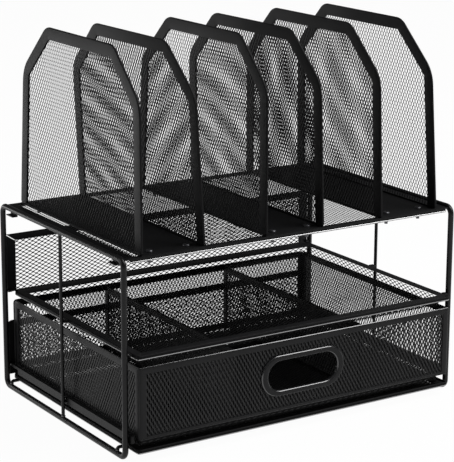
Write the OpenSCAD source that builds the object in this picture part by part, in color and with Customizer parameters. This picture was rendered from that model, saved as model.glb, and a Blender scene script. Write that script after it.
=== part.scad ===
// Envelope sorter with drawer: two bent-wire side frames carry a top tray with three
// two-walled file racks, a middle paper tray, and an upturned bottom tray on which a
// meshed drawer slides out to the front.
// Frame: +Z up, X is the width (right when seen from the front), the drawer opens to -Y.
// The origin is on the ground under the middle of the whole object.

/* [Side frames] */
// Width between the centre lines of the two side frames
frame_w = 330; // [290:1:380]
// Depth between the centre lines of the front and rear uprights
frame_d = 214; // [190:1:260]
// Height of the open bay between the middle tray's flange and the top rail's centre line
bay_h = 77.5; // [60:0.5:130]
// Diameter of the frame wire
wire_d = 5; // [4:0.1:7]
// Radius of the frame's corners on the wire's centre line
bend_r = 6.5; // [5:0.1:14]
// Depth of the flat that is pressed along the foot of each side frame
foot_flat = 0.2; // [0.1:0.05:0.5]
// Diameter of the thin upright in the middle of each side
mid_wire_d = 3; // [2:0.1:4]
// Diameter of the two cross wires under the bottom tray
cross_d = 3; // [2.5:0.1:4.5]
// Centre-line radius of the cross wires' ends, which bend down onto the bottom rails
cross_bend = 2.5; // [2.3:0.1:6]
// Distance from the front uprights to the front cross wire
cross_front = 13.7; // [8:0.1:40]
// Distance from the rear uprights to the rear cross wire
cross_rear = 8.6; // [8:0.1:40]

/* [Trays] */
// Distance by which the trays and the drawer stand out in front of the uprights
overhang = 11; // [6:0.5:20]
// Width of a tray's flat flange
flange_w = 7.5; // [6:0.1:12]
// Depth of a tray's pan, flange included
pan_h = 9.6; // [7:0.1:14]
// Gap between the drawer and the middle tray's floor above it
drawer_head_gap = 0.5; // [0.3:0.1:6]
// Thickness of the flanges and plates
sheet_t = 0.8; // [0.6:0.1:1.2]
// Diameter of the hem rolled round a flange
hem_d = 2; // [1.6:0.1:3]
// Centre-line radius of the hem at a tray's corners
tray_corner = 3; // [2:0.1:6]
// Height of the back panels
back_h = 50; // [30:1:60]
// Width of the strip along the top and bottom of a back panel
back_strip = 6.2; // [4:0.1:10]
// Width of the strip at the sides of a back panel
back_side = 9.2; // [6:0.1:14]
// Width of the top tray's flat rim
top_rim = 6; // [4:0.1:12]
// Depth of the top tray's front and rear lips
top_lip = 3.5; // [2.5:0.1:6]

/* [File racks] */
// Distance between the two walls of a rack, at their feet
rack_w = 58; // [45:0.5:70]
// Distance from the side of the top tray to the nearest rack's base plate
rack_side_gap = 14; // [4:0.5:30]
// Distance from the front of the top tray to the racks
rack_front_gap = 0.5; // [0:0.1:10]
// Distance from the rear of the top tray to the racks
rack_rear_gap = 2.5; // [0:0.1:10]
// Height of a rack wall
wall_h = 161.5; // [120:0.5:200]
// Height at which a rack wall starts to slope in
shoulder_h = 120.5; // [90:0.5:130]
// Distance by which each edge leans in at the shoulder
lean = 6; // [0:0.5:10]
// Distance by which the top of the first wall from the left leans to the right
lean_1 = 3; // [-12:0.1:12]
// Distance by which the top of the second wall leans to the right
lean_2 = -8.5; // [-12:0.1:12]
// Distance by which the top of the third wall leans to the right
lean_3 = 3.5; // [-12:0.1:12]
// Distance by which the top of the fourth wall leans to the right
lean_4 = -4; // [-12:0.1:12]
// Distance by which the top of the fifth wall leans to the right
lean_5 = -3; // [-12:0.1:12]
// Distance by which the top of the sixth wall leans to the right
lean_6 = -6.3; // [-12:0.1:12]
// Distance from a rack's end to the start of its level top
top_inset = 48.7; // [30:0.5:60]
// Radius of the corners of a rack wall
wall_corner = 13; // [8:0.5:18]
// Radius of a rack wall's foot corners
foot_corner = 3; // [1:0.5:6]
// Width of the folded strip round a rack wall
wall_strip = 8.2; // [5:0.1:12]
// Thickness of a folded strip
strip_t = 2; // [1.6:0.1:3]
// Distance of a rack's screws from its middle
screw_x = 17.3; // [12:0.1:20]
// Distance of a rack's screws from its ends
screw_y = 9.5; // [9:0.5:20]
// Diameter of a rack screw's shank
screw_d = 3.5; // [3:0.1:4]
// Length of a rack screw under its head
screw_l = 9; // [7:0.5:14]
// Diameter of a rack screw's head
head_d = 6.4; // [5:0.1:8]
// Height of a rack screw's head
head_h = 1.8; // [1.2:0.1:3]
// Width of a rack nut across its flats
nut_af = 6; // [5:0.1:8]
// Thickness of a rack nut
nut_h = 2.6; // [2:0.1:4]

/* [Drawer] */
// Distance from the side of a tray's hem to the drawer's side
drawer_side_gap = 2; // [0.5:0.1:8]
// Height of the drawer
drawer_h = 61.5; // [40:0.5:80]
// Height of the strip along the top of the drawer's front
front_top_strip = 5.7; // [4:0.1:12]
// Width of the strips at the sides of the drawer's walls
side_strip = 6.2; // [4:0.1:12]
// Height of the strip along the top of the drawer's other walls
side_top_strip = 7; // [4:0.1:12]
// Height of the strip along the bottom of the drawer's walls
bottom_strip = 2.2; // [1.5:0.1:8]
// Width of the flat rim round the drawer's floor
floor_rim = 9; // [6:0.5:16]
// Distance from the middle of the drawer to each partition
partition_x = 64.5; // [50:0.5:90]
// Distance by which the partitions stand below the drawer's edge
partition_drop = 1; // [0:0.5:10]
// Length of the finger opening in the drawer's front
grip_w = 74; // [60:1:110]
// Height of the finger opening in the drawer's front
grip_h = 27; // [20:0.5:34]
// Width of the pressed ring round the finger opening
grip_ring = 4.5; // [3:0.1:8]
// Distance by which that ring stands out of the drawer's front
grip_proud = 1.5; // [0.5:0.1:3]
// Height of the guide strips at the drawer's sides
guide_h = 6.4; // [4:0.1:10]
// Thickness of the guide strips
guide_t = 2.8; // [1.5:0.1:6]
// Height of the guide strips' lower edge above the bottom tray's flange
guide_lift = 6.8; // [3:0.1:12]
// Distance by which the guide strips stand out in front of the uprights
guide_front = 5.5; // [0:0.5:10]
// Length of the narrow rear end of each guide strip
guide_neck = 16.5; // [8:0.5:40]
// Height of that narrow end
neck_h = 2.4; // [1.5:0.1:6]

/* [Mesh] */
// Thickness of the mesh sheet
mesh_t = 0.8; // [0.6:0.1:1.2]
// Short pitch of the mesh drawn in the racks' walls
wall_pitch = 20; // [18:1:60]
// Short pitch of the mesh drawn in the trays' and drawer's floors
floor_pitch = 30; // [26:1:80]
// Short pitch of the mesh drawn in the low upright panels
panel_pitch = 15; // [12:1:40]
// Short pitch of a mesh cell as a share of its long pitch
cell_ratio = 0.58; // [0.45:0.01:0.8]
// Share of a cell's width and height that is open
open_share = 0.88; // [0.5:0.01:0.92]

/* [Clearances] */
// Gap under the drawer, and between its rear and the bottom back panel
slide_gap = 0.3; // [0.2:0.05:0.6]
// Gap between a guide strip and a tray's outer edge
guide_gap = 0.2; // [0.1:0.05:0.6]
// Gap round a screw's shank
screw_gap = 0.15; // [0.1:0.05:0.4]

/* [Hidden] */
fine = 24;              // facets of small round things
margin = 0.5;           // least metal left between a mesh opening and its panel's edge
rails = frame_w / 2;    // X of a side frame
reach = overhang + grip_proud;             // how far the front of the object is from the uprights
depth = reach + frame_d + wire_d / 2;      // depth of the whole object
front_y = reach - depth / 2;               // Y of the front uprights
rear_y = front_y + frame_d;                // Y of the rear uprights
mid_y = (front_y + rear_y) / 2;            // Y of the thin uprights
foot_z = wire_d / 2 - foot_flat;           // Z of the bottom rails
rail_top = foot_z + wire_d / 2;            // top of the bottom rails
cross_z = rail_top + cross_bend;           // Z of the cross wires
tray_front = front_y - overhang;           // Y of the trays' front edge
tray_back = rear_y + wire_d / 2;           // Y of the trays' rear edge
tray_d = tray_back - tray_front;
tray_mid = (tray_front + tray_back) / 2;
tray_z = cross_z + cross_d / 2;            // the bottom tray's flange lies on the cross wires
tray_floor = tray_z + pan_h;               // the bottom tray's raised floor
drawer_z = tray_floor + slide_gap;
middle_z = drawer_z + drawer_h + drawer_head_gap + pan_h;   // the middle tray's flange
top_rail_z = middle_z + bay_h;             // Z of the top rails
tray_w = frame_w - wire_d - 2 * (guide_t + guide_gap);      // the guide strips fill the room beside it
drawer_w = tray_w - 2 * drawer_side_gap;
back_w = frame_w - wire_d;                 // the back panels reach from upright to upright
inner_w = tray_w - 2 * flange_w;           // outside of a pan's walls
inner_d = tray_d - 2 * flange_w;
top_z = top_rail_z + 0.2;                  // top face of the top tray
rack_z = top_z + sheet_t;                  // top face of the racks' base plates
rack_y = front_y + rack_front_gap;         // front edge of the racks
rack_d = frame_d - rack_front_gap - rack_rear_gap;
rack_x = (frame_w - wire_d - rack_w - strip_t) / 2 - rack_side_gap;   // X of the right rack's middle
rack_xs = [-rack_x, 0, rack_x];
leans = [lean_1, lean_2, lean_3, lean_4, lean_5, lean_6];
upright_ys = [front_y, mid_y, rear_y];
back_y = tray_back - strip_t;              // front face of the back panels
drawer_back = back_y - slide_gap;
drawer_d = drawer_back - tray_front;
side_z = drawer_z + sheet_t;               // foot of the drawer's walls
side_h = drawer_h - sheet_t;               // height of the drawer's walls
side_len = drawer_d - 2 * strip_t;         // inside depth of the drawer
grip_z = side_z + side_h / 2;              // middle of the finger opening
guide_x = tray_w / 2 + guide_gap;          // inner face of a guide strip
guide_z = tray_z + guide_lift;             // lower edge of a guide strip

// ---------- plane geometry ----------

function unit(v) = v / norm(v);

function turned(v) = [-v.y, v.x];

// The convex outline pts, drawn anticlockwise, with each side moved inwards by d
function inset(pts, d) = [
    for (i = [0 : len(pts) - 1])
        let (
            before = pts[(i + len(pts) - 1) % len(pts)],
            at = pts[i],
            after = pts[(i + 1) % len(pts)],
            na = turned(unit(at - before)),
            nb = turned(unit(after - at))
        )
        at + d * (na + nb) / (1 + na * nb)
];

// The convex outline pts with its corners rounded to the given radii
function rounded(pts, radii, steps = 6) = [
    for (i = [0 : len(pts) - 1])
        let (
            before = pts[(i + len(pts) - 1) % len(pts)],
            at = pts[i],
            after = pts[(i + 1) % len(pts)],
            a = unit(at - before),
            b = unit(after - at),
            bend = acos(min(1, max(-1, a * b))),
            start = at - a * radii[i] * tan(bend / 2),
            centre = start + turned(a) * radii[i],
            from = atan2(-turned(a).y, -turned(a).x)
        )
        for (k = [0 : steps])
            centre + radii[i] * [cos(from + bend * k / steps), sin(from + bend * k / steps)]
];

// Whether point p lies inside the convex outline pts, at least d from each side
function inside(p, pts, d) = min([
    for (i = [0 : len(pts) - 1])
        let (after = pts[(i + 1) % len(pts)], side = turned(unit(after - pts[i])))
        (p - pts[i]) * side
]) >= d;

function box_points(w, h) = [[-w / 2, -h / 2], [w / 2, -h / 2], [w / 2, h / 2], [-w / 2, h / 2]];

function centre_of(pts) = [
    (min([for (p = pts) p.x]) + max([for (p = pts) p.x])) / 2,
    (min([for (p = pts) p.y]) + max([for (p = pts) p.y])) / 2
];

function span(pts) = max([for (p = pts) max(abs((p - centre_of(pts)).x), abs((p - centre_of(pts)).y))]);

// Tips of one diamond of the mesh, with its long way along Y, or along X if flat
function tips(at, pitch, flat) =
    let (
        short = pitch * open_share / 2,
        long = pitch / cell_ratio * open_share / 2,
        dx = flat ? long : short,
        dy = flat ? short : long
    )
    [at + [dx, 0], at + [0, dy], at - [dx, 0], at - [0, dy]];

// Diamonds of an expanded mesh that lie whole inside pts and clear of the box hole, if there is one
module diamonds(pts, pitch, flat = false, hole = [0, 0]) {
    long = pitch / cell_ratio;
    step = flat ? [long / 2, pitch / 2] : [pitch / 2, long / 2];
    middle = centre_of(pts);
    count = ceil(span(pts) / min(step));
    for (i = [-count : count], j = [-count : count]) {
        at = middle + [i * step.x, j * step.y];
        cell = tips(at, pitch, flat);
        fits = min([for (p = cell) inside(p, pts, margin) ? 1 : 0]) == 1;
        clear = hole.x == 0
            || abs(at.x) - abs(cell[0].x - at.x) > hole.x / 2
            || abs(at.y) - abs(cell[1].y - at.y) > hole.y / 2;
        if ((i + j) % 2 == 0 && fits && clear)
            polygon(cell);
    }
}

module rounded_square(w, d, r) {
    square([w - 2 * r, d], center = true);
    square([w, d - 2 * r], center = true);
    for (x = [-1, 1], y = [-1, 1])
        translate([x * (w / 2 - r), y * (d / 2 - r)])
            circle(r = r, $fn = fine);
}

module stadium(w, h) {
    square([w - h, h], center = true);
    for (x = [-1, 1])
        translate([x * (w - h) / 2, 0])
            circle(d = h, $fn = 2 * fine);
}

// ---------- plates stood up in the object's frame ----------

// A plate drawn in X and Z, t thick, whose front face is at y
module facing_front(y, t) {
    translate([0, y + t, 0])
        rotate([90, 0, 0])
            linear_extrude(t)
                children();
}

// A plate drawn in Y and Z, t thick, centred on x
module facing_side(x, t) {
    translate([x - t / 2, 0, 0])
        rotate([90, 0, 90])
            linear_extrude(t)
                children();
}

module frame_of(w, h, left, top, bottom) {
    difference() {
        square([w, h], center = true);
        translate([0, (bottom - top) / 2])
            square([w - 2 * left, h - top - bottom], center = true);
    }
}

module mesh_of(w, h, left, top, bottom, pitch, flat = false, hole = [0, 0]) {
    inner = [w - 2 * left, h - top - bottom];
    translate([0, (bottom - top) / 2])
        difference() {
            square(inner, center = true);
            diamonds(box_points(inner.x, inner.y), pitch, flat, hole);
        }
}

// ---------- wire ----------

module wire(length, d) {
    cylinder(d = d, h = length, center = true, $fn = fine);
}

// A quarter turn of wire, from +X of its centre to +Y of its centre
module wire_bend(r, d) {
    rotate_extrude(angle = 90, $fn = 2 * fine)
        translate([r, 0])
            circle(d = d, $fn = fine);
}

// A closed loop of wire in X and Y with rounded corners
module wire_loop(w, h, r, d) {
    for (s = [-1, 1]) {
        translate([0, s * h / 2, 0])
            rotate([0, 90, 0])
                wire(w - 2 * r, d);
        translate([s * w / 2, 0, 0])
            rotate([90, 0, 0])
                wire(h - 2 * r, d);
    }
    for (quarter = [0 : 3]) {
        sx = (quarter == 0 || quarter == 3) ? 1 : -1;
        sy = (quarter < 2) ? 1 : -1;
        translate([sx * (w / 2 - r), sy * (h / 2 - r), 0])
            rotate([0, 0, 90 * quarter])
                wire_bend(r, d);
    }
}

module side_frame(side) {
    loop_h = top_rail_z - foot_z;
    color("#26272a")
        difference() {
            translate([side * rails, mid_y, foot_z + loop_h / 2])
                rotate([90, 0, 90])
                    wire_loop(frame_d, loop_h, bend_r, wire_d);
            translate([side * rails, mid_y, -wire_d / 2])
                cube([2 * wire_d, 2 * frame_d, wire_d], center = true);
        }
}

module mid_upright(side) {
    low = rail_top;
    high = top_rail_z - wire_d / 2;
    color("#1f2022")
        translate([side * rails, mid_y, (low + high) / 2])
            wire(high - low, mid_wire_d);
}

// A cross wire whose ends bend down and stand on the bottom rails
module cross_wire(y) {
    run = frame_w - 2 * cross_bend;
    color("#1f2022")
        translate([0, y, cross_z]) {
            rotate([0, 90, 0])
                wire(run, cross_d);
            for (side = [-1, 1])
                translate([side * run / 2, 0, -cross_bend])
                    mirror([side < 0 ? 1 : 0, 0, 0])
                        rotate([90, 0, 0])
                            wire_bend(cross_bend, cross_d);
        }
}

// ---------- trays ----------

// A flat flange with a hem rolled round its outer edge, its flat face at z = 0, hem below
module flange() {
    linear_extrude(sheet_t)
        difference() {
            rounded_square(tray_w - hem_d, tray_d - hem_d, tray_corner);
            square([inner_w - 2 * mesh_t, inner_d - 2 * mesh_t], center = true);
        }
    translate([0, 0, hem_d / 2])
        wire_loop(tray_w - hem_d, tray_d - hem_d, tray_corner, hem_d);
}

// The low walls of a pan that stands on the flange at z = 0
module pan_walls() {
    translate([0, 0, sheet_t])
        linear_extrude(pan_h - sheet_t - mesh_t)
            difference() {
                square([inner_w, inner_d], center = true);
                square([inner_w - 2 * mesh_t, inner_d - 2 * mesh_t], center = true);
            }
}

// The pan's floor of mesh, which closes the walls' far end
module pan_floor() {
    translate([0, 0, pan_h - mesh_t])
        linear_extrude(mesh_t)
            difference() {
                square([inner_w, inner_d], center = true);
                diamonds(box_points(inner_w, inner_d), floor_pitch);
            }
}

module at_middle_tray() {
    translate([0, tray_mid, middle_z])
        rotate([180, 0, 0])
            children();
}

module at_bottom_tray() {
    translate([0, tray_mid, tray_z])
        children();
}

module back_frame(z) {
    color("#141516")
        translate([0, 0, z + back_h / 2])
            facing_front(back_y, strip_t)
                frame_of(back_w, back_h, back_side, back_strip, back_strip);
}

module back_mesh(z) {
    color("#3a3b3e")
        translate([0, 0, z + back_h / 2])
            facing_front(back_y + (strip_t - mesh_t) / 2, mesh_t)
                mesh_of(back_w, back_h, back_side, back_strip, back_strip, panel_pitch, true);
}

// Short tabs weld the middle tray's hem to the uprights
module middle_tray_tabs() {
    color("#141516")
        for (side = [-1, 1], y = upright_ys) {
            radius = (y == mid_y) ? mid_wire_d / 2 : wire_d / 2;
            length = rails - radius - tray_w / 2;
            translate([side * (tray_w + length) / 2, y, middle_z - hem_d / 2])
                cube([length, wire_d, hem_d], center = true);
        }
}

module top_tray_rim() {
    lip_z = top_z - top_lip;
    width = frame_w - wire_d;
    color("#2b2c2f") {
        translate([0, mid_y, top_z - sheet_t])
            linear_extrude(sheet_t)
                difference() {
                    square([width, frame_d], center = true);
                    square([width - 2 * top_rim, frame_d - 2 * top_rim], center = true);
                }
        for (s = [-1, 1])
            translate([0, mid_y + s * (frame_d - sheet_t) / 2, lip_z + (top_lip - sheet_t) / 2])
                cube([width - 2 * bend_r, sheet_t, top_lip - sheet_t], center = true);
    }
}

module rack_holes(z, t, d) {
    for (x = rack_xs, sx = [-1, 1], y = [rack_y + screw_y, rack_y + rack_d - screw_y])
        translate([x + sx * screw_x, y, z - t])
            cylinder(d = d, h = 3 * t, $fn = fine);
}

module top_tray_mesh() {
    inner = [frame_w - wire_d - 2 * top_rim, frame_d - 2 * top_rim];
    color("#3a3b3e")
        difference() {
            translate([0, mid_y, top_z - sheet_t])
                linear_extrude(sheet_t)
                    difference() {
                        square(inner, center = true);
                        diamonds(box_points(inner.x, inner.y - 4 * screw_y), floor_pitch);
                    }
            rack_holes(top_z - sheet_t, sheet_t, screw_d + 2 * screw_gap);
        }
}

// Bent clips hold the top tray to the top rails near the four corners
module top_tray_clips() {
    clip = [top_rim, 2 * top_rim, sheet_t];
    drop = wire_d;
    color("#141516")
        for (side = [-1, 1], y = [front_y + 2.5 * bend_r, rear_y - 2.5 * bend_r]) {
            low = top_z - sheet_t - drop;
            translate([side * (rails - wire_d / 2 - sheet_t / 2), y, low + drop / 2])
                cube([sheet_t, clip.y, drop], center = true);
            translate([side * (rails - wire_d / 2 + (clip.x - sheet_t) / 2 - sheet_t), y, low - sheet_t / 2])
                cube([clip.x - sheet_t, clip.y, sheet_t], center = true);
        }
}

// ---------- drawer guides ----------

// A strip beside the drawer, welded to the uprights, with a narrow rear end
module drawer_guide(side) {
    front = front_y - guide_front;
    wide_len = rear_y - guide_neck - front;
    color("#2b2c2f")
        translate([side * (guide_x + guide_t / 2), 0, guide_z])
            translate([-guide_t / 2, front, 0]) {
                cube([guide_t, wide_len, guide_h]);
                translate([0, wide_len, guide_h - neck_h])
                    cube([guide_t, guide_neck, neck_h]);
            }
}

// Spacers that join the guide strips to the thin middle uprights
module guide_tabs() {
    gap = (wire_d - mid_wire_d) / 2;
    color("#141516")
        for (side = [-1, 1])
            translate([side * (guide_x + guide_t + gap / 2), mid_y, guide_z + guide_h / 2])
                cube([gap, mid_wire_d, guide_h / 2], center = true);
}

// ---------- file racks ----------

function wall_points() = [
    [0, 0], [rack_d, 0], [rack_d - lean, shoulder_h], [rack_d - top_inset, wall_h],
    [top_inset, wall_h], [lean, shoulder_h]
];

function wall_radii(less = 0) = [
    foot_corner, foot_corner, wall_corner - less, wall_corner - less,
    wall_corner - less, wall_corner - less
];

function wall_inner() = rounded(inset(wall_points(), wall_strip), wall_radii(wall_strip / 2));

module rack_base(x) {
    color("#1b1c1e")
        difference() {
            translate([x - (rack_w + strip_t) / 2, rack_y, top_z])
                cube([rack_w + strip_t, rack_d, sheet_t]);
            rack_holes(top_z, sheet_t, screw_d + 2 * screw_gap);
        }
}

// X of the foot of rack wall number i, counted from the left
function wall_x(i) = rack_xs[floor((i - 1) / 2)] + (i % 2 == 1 ? -1 : 1) * rack_w / 2;

// Tilts wall number i by its lean and sets its lower edge on the base plate
module at_rack_wall(i) {
    tilt = asin(leans[i - 1] / wall_h);
    translate([wall_x(i), rack_y, rack_z + sin(abs(tilt)) * strip_t / 2])
        rotate([0, tilt, 0])
            children();
}

module rack_wall_strip(i) {
    color("#2b2c2f")
        at_rack_wall(i)
            facing_side(0, strip_t)
                difference() {
                    polygon(rounded(wall_points(), wall_radii()));
                    polygon(wall_inner());
                }
}

module rack_wall_mesh(i) {
    color("#3a3b3e")
        at_rack_wall(i)
            facing_side(0, mesh_t)
                difference() {
                    polygon(wall_inner());
                    diamonds(inset(wall_points(), wall_strip), wall_pitch);
                }
}

module rack_screws() {
    color("#55565a")
        for (x = rack_xs, sx = [-1, 1], y = [rack_y + screw_y, rack_y + rack_d - screw_y])
            translate([x + sx * screw_x, y, rack_z]) {
                cylinder(d = head_d, h = head_h, $fn = fine);
                translate([0, 0, -screw_l])
                    cylinder(d = screw_d, h = screw_l, $fn = fine);
            }
}

module rack_nuts() {
    color("#55565a")
        for (x = rack_xs, sx = [-1, 1], y = [rack_y + screw_y, rack_y + rack_d - screw_y])
            translate([x + sx * screw_x, y, top_z - sheet_t - nut_h])
                difference() {
                    cylinder(d = nut_af / cos(30), h = nut_h, $fn = 6);
                    translate([0, 0, -nut_h])
                        cylinder(d = screw_d + 2 * screw_gap, h = 3 * nut_h, $fn = fine);
                }
}

// ---------- drawer ----------

module drawer_floor_rim() {
    color("#1b1c1e")
        translate([0, tray_front + drawer_d / 2, drawer_z])
            linear_extrude(sheet_t)
                frame_of(drawer_w, drawer_d, floor_rim, floor_rim, floor_rim);
}

module drawer_floor_mesh() {
    color("#3a3b3e")
        translate([0, tray_front + drawer_d / 2, drawer_z])
            linear_extrude(sheet_t)
                mesh_of(drawer_w, drawer_d, floor_rim, floor_rim, floor_rim, floor_pitch);
}

module drawer_front_frame() {
    color("#1b1c1e")
        translate([0, 0, side_z + side_h / 2])
            facing_front(tray_front, strip_t)
                frame_of(drawer_w, side_h, side_strip, front_top_strip, bottom_strip);
}

module drawer_front_mesh() {
    ring = [grip_w + 2 * grip_ring, grip_h + 2 * grip_ring];
    low = [ring.x, 2 * side_h];
    color("#2b2c2f")
        difference() {
            translate([0, 0, side_z + side_h / 2])
                facing_front(tray_front + (strip_t - mesh_t) / 2, mesh_t)
                    mesh_of(drawer_w, side_h, side_strip, front_top_strip, bottom_strip,
                        panel_pitch, false, low);
            translate([0, 0, grip_z])
                facing_front(tray_front - strip_t, 3 * strip_t)
                    stadium(ring.x, ring.y);
        }
}

module handle_ring() {
    ring = [grip_w + 2 * grip_ring, grip_h + 2 * grip_ring];
    color("#3a3b3e")
        translate([0, 0, grip_z])
            facing_front(tray_front - grip_proud, grip_proud + strip_t)
                difference() {
                    stadium(ring.x, ring.y);
                    stadium(grip_w, grip_h);
                }
}

module drawer_side_frame(side) {
    color("#2b2c2f")
        translate([0, tray_front + drawer_d / 2, side_z + side_h / 2])
            facing_side(side * (drawer_w - strip_t) / 2, strip_t)
                frame_of(side_len, side_h, side_strip, side_top_strip, bottom_strip);
}

module drawer_side_mesh(side) {
    color("#3a3b3e")
        translate([0, tray_front + drawer_d / 2, side_z + side_h / 2])
            facing_side(side * (drawer_w - strip_t) / 2, mesh_t)
                mesh_of(side_len, side_h, side_strip, side_top_strip, bottom_strip, panel_pitch);
}

module drawer_rear_frame() {
    color("#1b1c1e")
        translate([0, 0, side_z + side_h / 2])
            facing_front(drawer_back - strip_t, strip_t)
                frame_of(drawer_w, side_h, side_strip, side_top_strip, bottom_strip);
}

module drawer_rear_mesh() {
    color("#3a3b3e")
        translate([0, 0, side_z + side_h / 2])
            facing_front(drawer_back - (strip_t + mesh_t) / 2, mesh_t)
                mesh_of(drawer_w, side_h, side_strip, side_top_strip, bottom_strip, panel_pitch);
}

module partition_frame(side) {
    height = side_h - partition_drop;
    color("#1b1c1e")
        translate([0, tray_front + drawer_d / 2, side_z + height / 2])
            facing_side(side * partition_x, strip_t)
                frame_of(side_len, height, side_strip, side_top_strip, bottom_strip);
}

module partition_mesh(side) {
    height = side_h - partition_drop;
    color("#3a3b3e")
        translate([0, tray_front + drawer_d / 2, side_z + height / 2])
            facing_side(side * partition_x, mesh_t)
                mesh_of(side_len, height, side_strip, side_top_strip, bottom_strip, panel_pitch);
}

side_frame(-1);  // side_frame_left
side_frame(1);  // side_frame_right
mid_upright(-1);  // mid_upright_left
mid_upright(1);  // mid_upright_right
cross_wire(front_y + cross_front);  // cross_wire_front
cross_wire(rear_y - cross_rear);  // cross_wire_rear
top_tray_rim();
top_tray_mesh();
top_tray_clips();
color("#2b2c2f") at_middle_tray() flange();  // middle_tray_rim
color("#3a3b3e") at_middle_tray() pan_walls();  // middle_tray_walls
color("#3a3b3e") at_middle_tray() pan_floor();  // middle_tray_mesh
back_frame(middle_z);  // middle_back_frame
back_mesh(middle_z);  // middle_back_mesh
middle_tray_tabs();
color("#2b2c2f") at_bottom_tray() flange();  // bottom_tray_rim
color("#3a3b3e") at_bottom_tray() pan_walls();  // bottom_tray_walls
color("#3a3b3e") at_bottom_tray() pan_floor();  // bottom_tray_mesh
back_frame(tray_z + hem_d);  // bottom_back_frame
back_mesh(tray_z + hem_d);  // bottom_back_mesh
drawer_guide(-1);  // drawer_guide_left
drawer_guide(1);  // drawer_guide_right
guide_tabs();
rack_base(rack_xs[0]);  // rack_base_left
rack_base(rack_xs[1]);  // rack_base_middle
rack_base(rack_xs[2]);  // rack_base_right
rack_wall_strip(1);  // rack_wall_1_strip
rack_wall_strip(2);  // rack_wall_2_strip
rack_wall_strip(3);  // rack_wall_3_strip
rack_wall_strip(4);  // rack_wall_4_strip
rack_wall_strip(5);  // rack_wall_5_strip
rack_wall_strip(6);  // rack_wall_6_strip
rack_wall_mesh(1);  // rack_wall_1_mesh
rack_wall_mesh(2);  // rack_wall_2_mesh
rack_wall_mesh(3);  // rack_wall_3_mesh
rack_wall_mesh(4);  // rack_wall_4_mesh
rack_wall_mesh(5);  // rack_wall_5_mesh
rack_wall_mesh(6);  // rack_wall_6_mesh
rack_screws();
rack_nuts();
drawer_floor_rim();
drawer_floor_mesh();
drawer_front_frame();
drawer_front_mesh();
handle_ring();
drawer_side_frame(-1);  // drawer_left_frame
drawer_side_mesh(-1);  // drawer_left_mesh
drawer_side_frame(1);  // drawer_right_frame
drawer_side_mesh(1);  // drawer_right_mesh
drawer_rear_frame();
drawer_rear_mesh();
partition_frame(-1);  // partition_left_frame
partition_mesh(-1);  // partition_left_mesh
partition_frame(1);  // partition_right_frame
partition_mesh(1);  // partition_right_mesh
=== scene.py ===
import math
import bpy
import numpy as np
from mathutils import Matrix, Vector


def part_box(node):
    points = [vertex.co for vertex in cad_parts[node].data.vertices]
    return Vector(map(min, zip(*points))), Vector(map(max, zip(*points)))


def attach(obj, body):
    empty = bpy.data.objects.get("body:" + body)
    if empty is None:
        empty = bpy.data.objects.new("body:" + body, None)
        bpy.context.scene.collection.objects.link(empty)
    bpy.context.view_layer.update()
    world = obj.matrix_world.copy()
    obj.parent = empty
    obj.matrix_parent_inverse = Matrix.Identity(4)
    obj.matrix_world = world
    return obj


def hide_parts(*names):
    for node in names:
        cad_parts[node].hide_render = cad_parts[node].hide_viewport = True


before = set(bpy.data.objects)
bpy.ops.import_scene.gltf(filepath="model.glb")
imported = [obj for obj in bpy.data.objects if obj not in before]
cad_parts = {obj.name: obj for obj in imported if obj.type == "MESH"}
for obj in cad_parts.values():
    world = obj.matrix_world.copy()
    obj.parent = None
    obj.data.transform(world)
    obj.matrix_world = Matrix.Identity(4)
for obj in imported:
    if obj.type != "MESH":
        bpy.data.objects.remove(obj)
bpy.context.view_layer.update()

# Every size is in millimetres, in the CAD's frame: X to the right, the drawer opens to -Y.
MM = 1000
X, Y, Z = range(3)


def low(node, axis):
    """Where a CAD node begins along an axis."""
    return round(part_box(node)[0][axis] * MM, 1)


def high(node, axis):
    """Where a CAD node ends along an axis."""
    return round(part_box(node)[1][axis] * MM, 1)


def middle(node, axis):
    return (low(node, axis) + high(node, axis)) / 2


# Places and sizes that the frame gives
RAIL_X = middle("side_frame_right", X)
WIRE = high("side_frame_right", X) - low("side_frame_right", X)
FRONT_Y, REAR_Y = low("side_frame_right", Y) + WIRE / 2, high("side_frame_right", Y) - WIRE / 2
MID_Y = middle("mid_upright_right", Y)
RAIL_TOP = low("cross_wire_front", Z)
CROSS_WIRE_YS = [middle(f"cross_wire_{end}", Y) for end in ("front", "rear")]
GUIDE_X, GUIDE_TOP = high("drawer_guide_right", X), high("drawer_guide_right", Z)
TRAY_X = high("bottom_tray_rim", X)
TRAY_FRONT, TRAY_BACK = low("bottom_tray_rim", Y), high("bottom_tray_rim", Y)
TOP_Z, MIDDLE_Z, BOTTOM_Z = high("top_tray_rim", Z), high("middle_tray_rim", Z), low("bottom_tray_rim", Z)
RACK_Y, RACK_Z = low("rack_base_middle", Y), high("rack_base_middle", Z)
RACK_D = high("rack_base_middle", Y) - RACK_Y
RACK_XS = [middle(f"rack_base_{place}", X) for place in ("left", "middle", "right")]
DRAWER_X, DRAWER_BACK = high("drawer_floor_rim", X), high("drawer_floor_rim", Y)
SIDE_Z, SIDE_TOP = low("drawer_front_frame", Z), high("drawer_front_frame", Z)
PARTITION_X, PARTITION_TOP = middle("partition_right_frame", X), high("partition_right_frame", Z)

# Thickness of the sheet in flanges, rims and lips, and of a strip folded over a mesh's edge
SHEET_T, STRIP_T = 0.8, 2.0

rng = np.random.default_rng(7)


# ---------------------------------------------------------------- materials

def linear(hex_colour):
    """An sRGB hex colour as a linear RGBA."""
    out = []
    for i in (1, 3, 5):
        c = int(hex_colour[i:i + 2], 16) / 255
        out.append(c / 12.92 if c <= 0.04045 else ((c + 0.055) / 1.055) ** 2.4)
    return (*out, 1.0)


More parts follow.
